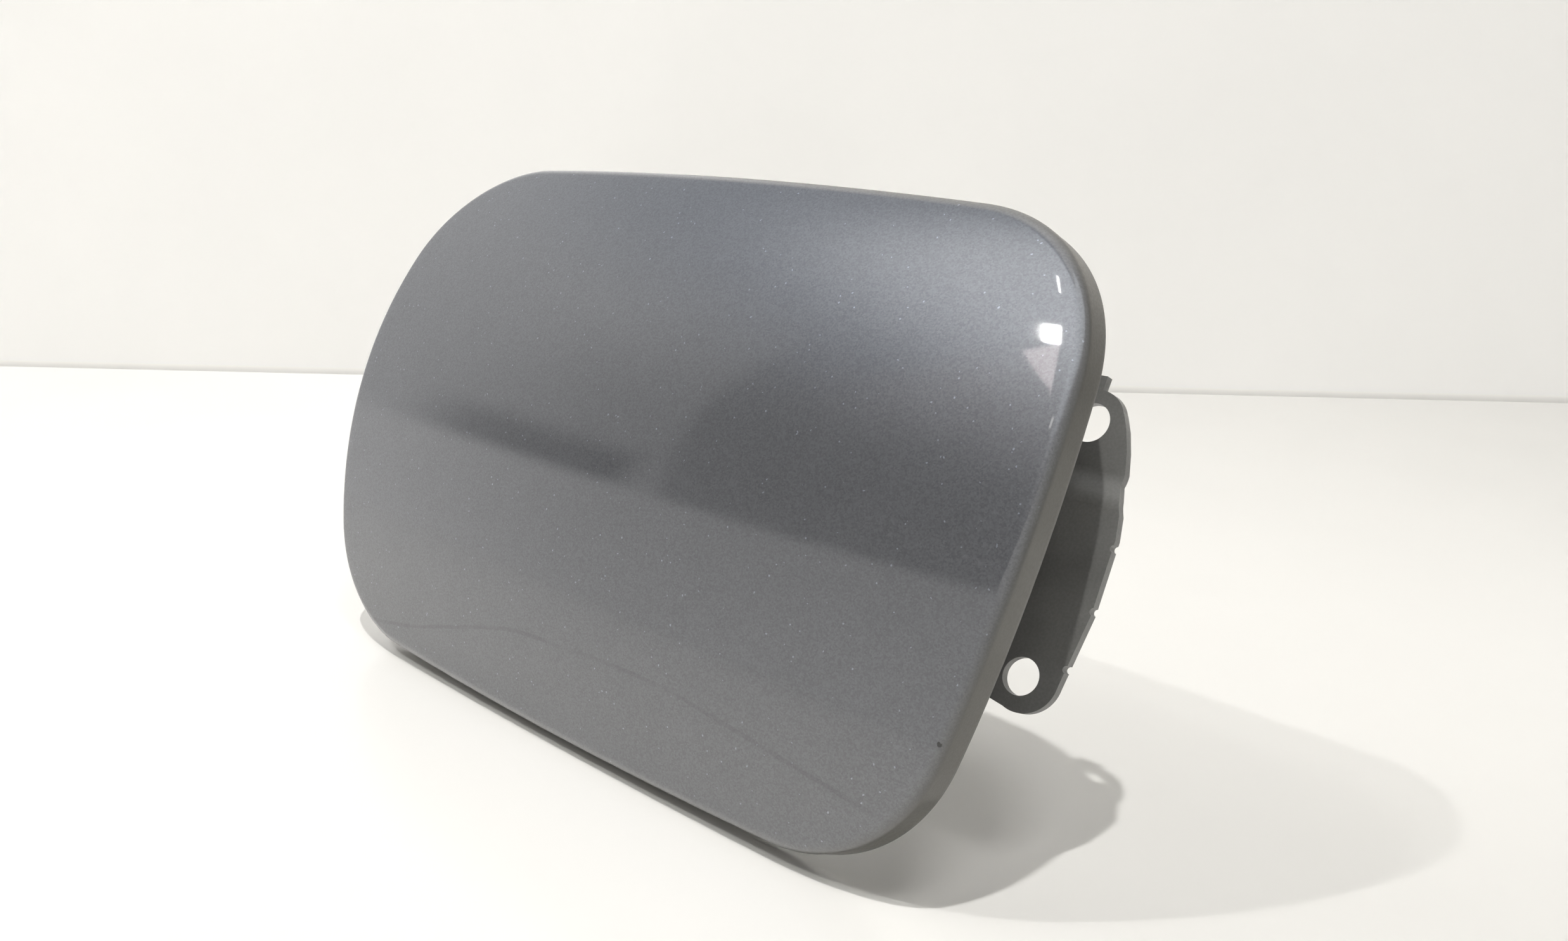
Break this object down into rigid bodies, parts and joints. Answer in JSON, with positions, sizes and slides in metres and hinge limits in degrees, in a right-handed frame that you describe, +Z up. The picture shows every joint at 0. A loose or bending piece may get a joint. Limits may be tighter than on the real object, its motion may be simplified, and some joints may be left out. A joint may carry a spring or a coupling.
{
  "type": "car fuel door",
  "caption": "Painted car fuel door with a crowned skin, inner pressing, sprung hinge on a stepped bolt plate, catch, buffers and cap holder.",
  "frame": {"origin": "centre of the lower bolt hole, on the back face of the hinge plate", "axes": "-Y is the way the painted face looks, +X points to the hinge side and +Z is up as on the car, along the hinge pin"},
  "size_m": [0.2018, 0.035, 0.128],
  "materials": {
    "body_paint": "grey metallic basecoat with clear coat",
    "inner_paint": "thin grey body colour over primer, satin",
    "mastic": "matt expanded sealant",
    "coated_steel": "dark grey dipped primer, semi matt",
    "zinc_yellow": "yellow passivated zinc plate",
    "bare_steel": "bright zinc plate",
    "spring_steel": "dark oiled spring steel",
    "nylon": "natural nylon",
    "buffer_rubber": "moulded black rubber",
    "moulded_plastic": "black moulded polypropylene, fine grain"
  },
  "bodies": {
    "plate": {"hinge_plate": "coated_steel", "hinge_pin": "bare_steel", "pin_washer": "bare_steel", "pin_clip": "spring_steel", "torsion_spring": "spring_steel"},
    "door": {"outer_skin": "body_paint", "inner_panel": "inner_paint", "pad_top_hinge": "mastic", "pad_top_free": "mastic", "pad_bottom_hinge": "mastic", "pad_bottom_free": "mastic", "hinge_arm": "coated_steel", "arm_bolt_upper": "zinc_yellow", "arm_bolt_lower": "zinc_yellow", "weld_nut_upper": "bare_steel", "weld_nut_lower": "bare_steel", "bush_upper": "nylon", "bush_lower": "nylon", "catch": "zinc_yellow", "catch_rivet_upper": "bare_steel", "catch_rivet_lower": "bare_steel", "buffer_upper": "buffer_rubber", "buffer_lower": "buffer_rubber", "cap_holder": "moulded_plastic", "holder_clip_hinge": "moulded_plastic", "holder_clip_free": "moulded_plastic"}
  },
  "joints": [
    {"name": "door_hinge", "type": "hinge", "parent": "plate", "child": "door", "pos_m": [-0.0032, -0.016, 0.0239], "axis": [0, 0, 1], "range_deg": [0, 95]}
  ]
}
